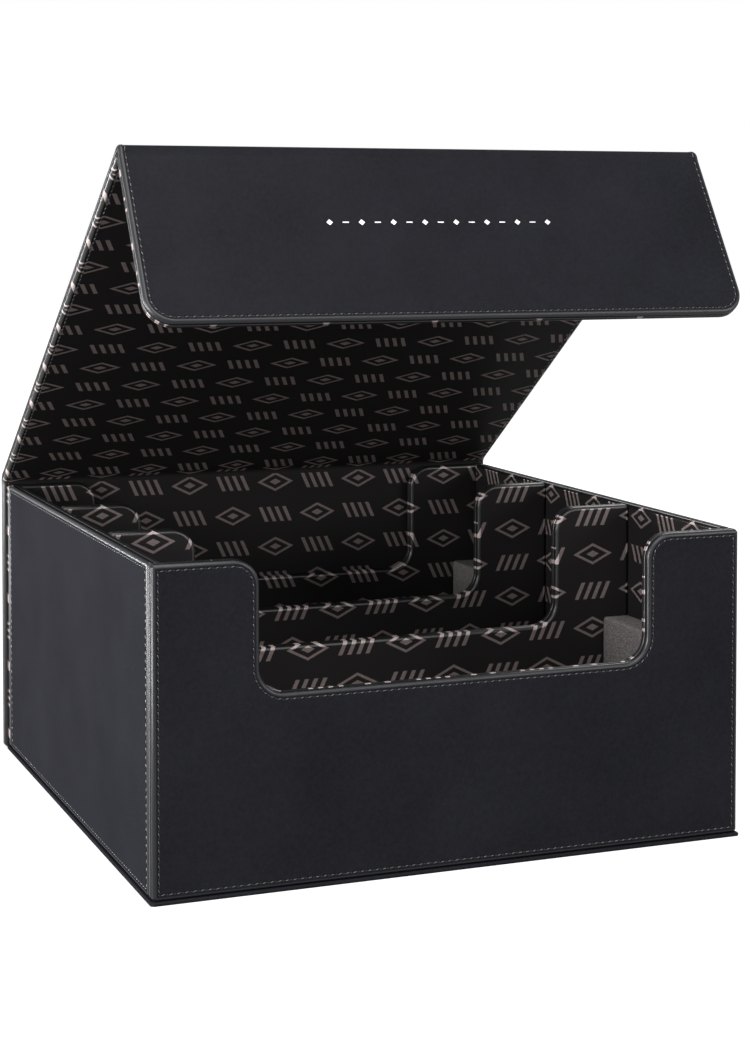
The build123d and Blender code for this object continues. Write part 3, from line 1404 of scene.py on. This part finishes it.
@dataclass(frozen=True)
class FoamBlock:
    """A soft foam block that keeps a part-filled row upright."""

    name: str
    finishes: Finishes
    rounding: float = 1.6 * MM
    segments: int = 3
    cuts: int = 6
    longest_edge: float = 8 * MM
    foot: float = 3 * MM
    dent: float = 0.18 * MM
    waves: tuple[float, float] = (95, 110)

    def build(self) -> list[Object]:
        """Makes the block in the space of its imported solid.

        Returns:
            The piece.
        """
        low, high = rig.box(self.name)
        bm = bmesh.new()
        place = Matrix.LocRotScale((low + high) / 2, None, high - low)
        bmesh.ops.create_cube(bm, size=1, matrix=place)
        round_off(bm, bm.edges[:], self.rounding, self.segments, clamp=True)
        long_edges = [e for e in bm.edges if e.calc_length() > self.longest_edge]
        bmesh.ops.subdivide_edges(bm, edges=long_edges, cuts=self.cuts, use_grid_fill=True)
        self._dent(bm, low, high)
        bmesh.ops.recalc_face_normals(bm, faces=bm.faces[:])
        piece = make_piece(f"{self.name}_foam", bm, [self.finishes.foam])
        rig.replaces(piece, self.name)
        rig.slot(piece, "foam")
        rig.padded(piece, fill=0.95)
        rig.ride(piece, self.name)
        return [piece]

    def _dent(self, bm: BMesh, low: Vector, high: Vector) -> None:
        """Dents the block a little above its foot, as cut foam is.

        Args:
            bm: The block's mesh.
            low: Its lowest corner.
            high: Its highest corner.
        """
        shift = random.Random(self.name).uniform(0, 6)
        middle = (low + high) / 2
        for vert in bm.verts:
            if vert.co.z < low.z + self.foot:
                continue
            inward = (middle - vert.co).normalized()
            wave = (math.sin(vert.co.y * self.waves[0] + shift)
                    * math.sin(vert.co.z * self.waves[1] + 2 * shift))
            vert.co += inward * (self.dent * (1 + wave))


@dataclass(frozen=True)
class FoilMark:
    """A row of small foil lozenges and bars on the flap, as plain ornament."""

    place: Matrix
    finishes: Finishes
    count: int = 15
    pitch: float = 7.8 * MM
    level: float = 112 * MM
    lozenge: float = 3.0 * MM
    bar: tuple[float, float] = (3.0 * MM, 0.55 * MM)
    thickness: float = 0.06 * MM

    def build(self) -> list[Object]:
        """Makes the row.

        Returns:
            The piece.
        """
        bm = bmesh.new()
        size = Matrix.Diagonal((*self.bar, 1, 1))
        for i in range(self.count):
            where = Matrix.Translation(((i - (self.count - 1) / 2) * self.pitch, self.level, 0))
            if i % 2 == 0:
                flat = bmesh.ops.create_circle(bm, cap_ends=True, segments=4, radius=self.lozenge / 2,
                                               matrix=where)
            else:
                flat = bmesh.ops.create_grid(bm, x_segments=1, y_segments=1, size=0.5, matrix=where @ size)
            extrude(bm, list({f for v in flat["verts"] for f in v.link_faces}), self.thickness)
        bmesh.ops.recalc_face_normals(bm, faces=bm.faces[:])
        bm.transform(self.place)
        piece = make_piece("flap_foil_mark", bm, [self.finishes.foil])
        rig.slot(piece, "leatherette")
        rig.ride(piece, "flap")
        return [piece]


@dataclass(frozen=True)
class CardBox:
    """The whole box: its clad panels, creases, foam blocks and foil mark."""

    finishes: Finishes

    def build(self) -> Iterable[Object]:
        """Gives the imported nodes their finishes, and makes every piece in order."""
        self._dress_nodes()
        yield from (piece for part in self._parts() for piece in part.build())

    def _dress_nodes(self) -> None:
        """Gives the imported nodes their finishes, which show on those that nothing replaces."""
        sheets = {"bottom_cover": self.finishes.leatherette, "floor_lining": self.finishes.floor_lining}
        for name, node in frame["nodes"].items():
            solid = self.finishes.magnet if name.endswith("magnets") else self.finishes.board
            node.data.materials.clear()
            node.data.materials.append(sheets.get(name, solid))

    def _parts(self) -> Iterable[CladPanel | Crease | FoamBlock | FoilMark]:
        """Lists the parts in order.

        Returns:
            The parts, one by one.
        """
        yield from self._walls()
        yield from self._dividers()
        yield from self._cover()
        yield from self._creases()
        for name in ("front_spacer", "rear_spacer"):
            yield FoamBlock(name, self.finishes)
        yield FoilMark(self.flap_place, self.finishes)

    def _walls(self) -> Iterable[CladPanel]:
        """Lists the four walls. All but the back wall have a sewn skin outside.

        Returns:
            The walls, one by one.
        """
        s = SIZES
        cut, plain = (Shape.FINGER_CUT, s.width), (Shape.PLAIN, s.inner_depth)
        for name, (shape, width), distance, outward in (
            ("front_wall", cut, s.back_face, -BACK),
            ("back_wall", cut, s.back_face, BACK),
            ("left_wall", plain, s.width / 2, -RIGHT),
            ("right_wall", plain, s.width / 2, RIGHT),
        ):
            panel = Panel(name, "box", shape, width, s.bottom_sheet, s.height, s.wall,
                          panel_matrix(distance, outward))
            outer = "facing" if name == "back_wall" else "skin"
            yield CladPanel(panel, self.finishes, outer, sewn=(outer == "skin", False))

    def _dividers(self) -> Iterable[CladPanel]:
        """Lists the two dividers, which are lined on both sides.

        Returns:
            The dividers, one by one.
        """
        s = SIZES
        for i, name in enumerate(("front_divider", "rear_divider")):
            face = -s.back_face + s.wall + s.row + i * (s.row + s.divider)
            panel = Panel(name, "box", Shape.FINGER_CUT, s.inner_width, s.floor, s.height, s.divider,
                          panel_matrix(-face, -BACK))
            yield CladPanel(panel, self.finishes, "front_lining", "rear_lining", (False, False))

    def _cover(self) -> Iterable[CladPanel]:
        """Lists the cover's back panel, lid and flap, each cut off where a crease starts.

        Returns:
            The cover panels, one by one.
        """
        s = SIZES
        back_top, flap_top = s.lid_axis.z - s.back_panel_gap, s.flap_axis.z - s.flap_gap
        front, rear = s.flap_axis.y + s.flap_gap, s.lid_axis.y - s.lid_gap
        back_place = panel_matrix(s.back_face + s.cover, BACK)
        lid_place = s.opened @ Matrix.Translation((0, 0, s.lid_top))
        for panel in (
            Panel("cover_back", "box", Shape.PLAIN, s.cover_width, s.back_panel_low, back_top + s.overrun,
                  s.cover, back_place, kept_high=back_top),
            Panel("lid", "lid", Shape.PLAIN, s.cover_width, front - s.overrun, rear + s.overrun,
                  s.cover, lid_place, front, rear),
            Panel("flap", "flap", Shape.FLAP, s.cover_width, s.flap_bottom, flap_top + s.overrun,
                  s.cover, self.flap_place, kept_high=flap_top),
        ):
            yield CladPanel(panel, self.finishes)

    @property
    def flap_place(self) -> Matrix:
        """The flap's place at rest."""
        return SIZES.opened @ SIZES.leaning @ panel_matrix(-SIZES.flap_face, -BACK)

    def _creases(self) -> Iterable[Crease]:
        """Lists the rear and the front crease.

        Returns:
            The creases, one by one.
        """
        s = SIZES
        lid_out = (s.opened.to_3x3() @ UP).normalized()
        flap_out = (s.leaning.to_3x3() @ -BACK).normalized()
        rear = Fold(s.lid_axis, BACK, s.back_panel_gap, lid_out, s.lid_gap, Matrix.Identity(4))
        yield Crease("rear_crease", ("box", "lid"), rear, self.finishes)
        front = Fold(s.flap_axis, UP, s.flap_gap, flap_out, s.flap_gap, s.opened)
        yield Crease("front_crease", ("lid", "flap"), front, self.finishes)


# The studio


@dataclass(frozen=True)
class Softbox:
    """A soft lamp that looks at a height above the middle of the box's floor."""

    name: str
    place: tuple[float, float, float]
    size: tuple[float, float]
    power: float
    aim: float = 0.12

    def build(self) -> None:
        """Adds the lamp."""
        data = bpy.data.lights.new(self.name, "AREA")
        data.shape = "RECTANGLE"
        data.size, data.size_y = self.size
        data.energy = self.power
        lamp = bpy.data.objects.new(self.name, data)
        lamp.location = self.place
        toward = Vector((0, 0, self.aim)) - Vector(self.place)
        lamp.rotation_euler = toward.to_track_quat("-Z", "Y").to_euler()
        bpy.context.scene.collection.objects.link(lamp)


@dataclass(frozen=True)
class Studio:
    """A white sweep, soft lamps and the camera at the photograph's viewpoint."""

    softboxes: tuple[Softbox, ...] = (
        Softbox("left strip", (-1.9, 0.15, 0.10), (0.7, 0.16), 26, aim=0.08),
        Softbox("left back strip", (-1.35, 1.15, 0.14), (0.9, 0.2), 40),
        Softbox("left front strip", (-1.85, -0.5, 0.12), (0.3, 0.18), 36),
        Softbox("left key", (-1.8, -0.65, 0.6), (0.7, 0.4), 40),
        Softbox("top box", (-0.3, -0.45, 1.7), (1.5, 1.2), 30),
        Softbox("front box", (-0.2, -1.4, 1.25), (1.5, 0.9), 27),
        Softbox("right front box", (1.3, -1.5, 0.8), (0.9, 0.7), 22),
        Softbox("back box", (0.9, 1.2, 1.2), (0.8, 0.6), 16),
    )
    floor_reach: float = 6
    floor_fade: tuple[float, float] = (0.4, 1.4)
    floor_glow: tuple[float, float] = (0.84, 1.03)
    floor_grey: float = 0.18
    world_light: float = 0.28
    camera_place: tuple[float, float, float] = (-0.3912, -1.0336, 0.2971)
    camera_pitch: float = math.radians(2.3)
    camera_yaw: float = 0.3760
    focal_pixels: float = 2144.1
    frame_height: int = 1050
    sensor: float = 36
    shift: float = -0.2114
    view_range: tuple[float, float] = (0.05, 30)

    def build(self) -> None:
        """Adds the floor, the world, the lamps and the camera."""
        self._floor()
        self._world()
        for softbox in self.softboxes:
            softbox.build()
        self._camera()
        bpy.context.scene.view_settings.view_transform = "Standard"

    @staticmethod
    def _seen(sketch: NodeSketch) -> NodeSocket:
        """1 for what the camera sees directly or in a gloss or glass.

        Args:
            sketch: The node tree to add to.

        Returns:
            The socket.
        """
        path = sketch.add("ShaderNodeLightPath").outputs
        direct = sketch.math("MAXIMUM", path["Is Camera Ray"], path["Is Glossy Ray"])
        return sketch.math("MAXIMUM", direct, path["Is Transmission Ray"])

    def _floor(self) -> None:
        """Adds a pale floor that keeps the box's shadow."""
        bm = bmesh.new()
        bmesh.ops.create_grid(bm, x_segments=1, y_segments=1, size=self.floor_reach)
        sketch = new_sketch("studio floor")
        reach = sketch.add("ShaderNodeVectorMath", {"operation": "LENGTH"})
        sketch.join(reach.inputs[0], sketch.coordinates())
        level = sketch.spread(reach.outputs["Value"], *self.floor_fade, *self.floor_glow)
        strength = sketch.math("MULTIPLY", self._seen(sketch), level)
        material = sketch.finish(Base_Color=grey(self.floor_grey), Roughness=0.9, Specular_IOR_Level=0.0,
                                 Emission_Color=grey(1.0), Emission_Strength=strength)
        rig.stage(make_piece("studio_floor", bm, [material]))

    def _world(self) -> None:
        """Sets a soft even light, with a white background."""
        world = bpy.data.worlds.new("studio")
        bpy.context.scene.world = world
        sketch = NodeSketch(world)
        light = sketch.fill(sketch.nodes["Background"], Color=grey(1.0), Strength=self.world_light)
        white = sketch.add("ShaderNodeBackground", Color=grey(1.0), Strength=1.0)
        choice = sketch.add("ShaderNodeMixShader")
        for socket, value in zip(choice.inputs, (self._seen(sketch), light.outputs[0], white.outputs[0])):
            sketch.join(socket, value)
        sketch.fill(sketch.nodes["World Output"], Surface=choice.outputs[0])

    def _camera(self) -> None:
        """Adds the camera."""
        data = bpy.data.cameras.new("camera")
        data.sensor_width = self.sensor
        data.lens = self.focal_pixels * self.sensor / self.frame_height
        data.shift_y = self.shift
        data.clip_start, data.clip_end = self.view_range
        camera = bpy.data.objects.new("camera", data)
        camera.location = self.camera_place
        camera.rotation_euler = (math.pi / 2 - self.camera_pitch, 0, -self.camera_yaw)
        bpy.context.scene.collection.objects.link(camera)
        bpy.context.scene.camera = camera


def write_sizes(before: tuple[Vector, Vector]) -> None:
    """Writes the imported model's box and the visual model's box.

    Args:
        before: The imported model's lowest and highest corners.
    """
    boxes = {"cad": before, "visual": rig.bounds()}
    with open("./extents.json", "w") as out:
        json.dump({name: [list(corner) for corner in box] for name, box in boxes.items()}, out)


def main() -> None:
    """Builds the box and its studio, and reports each piece."""
    logging.basicConfig(level=logging.INFO, format="%(message)s")
    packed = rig.bounds()
    for piece in CardBox(Finishes()).build():
        log.info("%s: %d faces", piece.name, len(piece.data.polygons))
    Studio().build()
    write_sizes(packed)


if __name__ == "__main__":
    main()
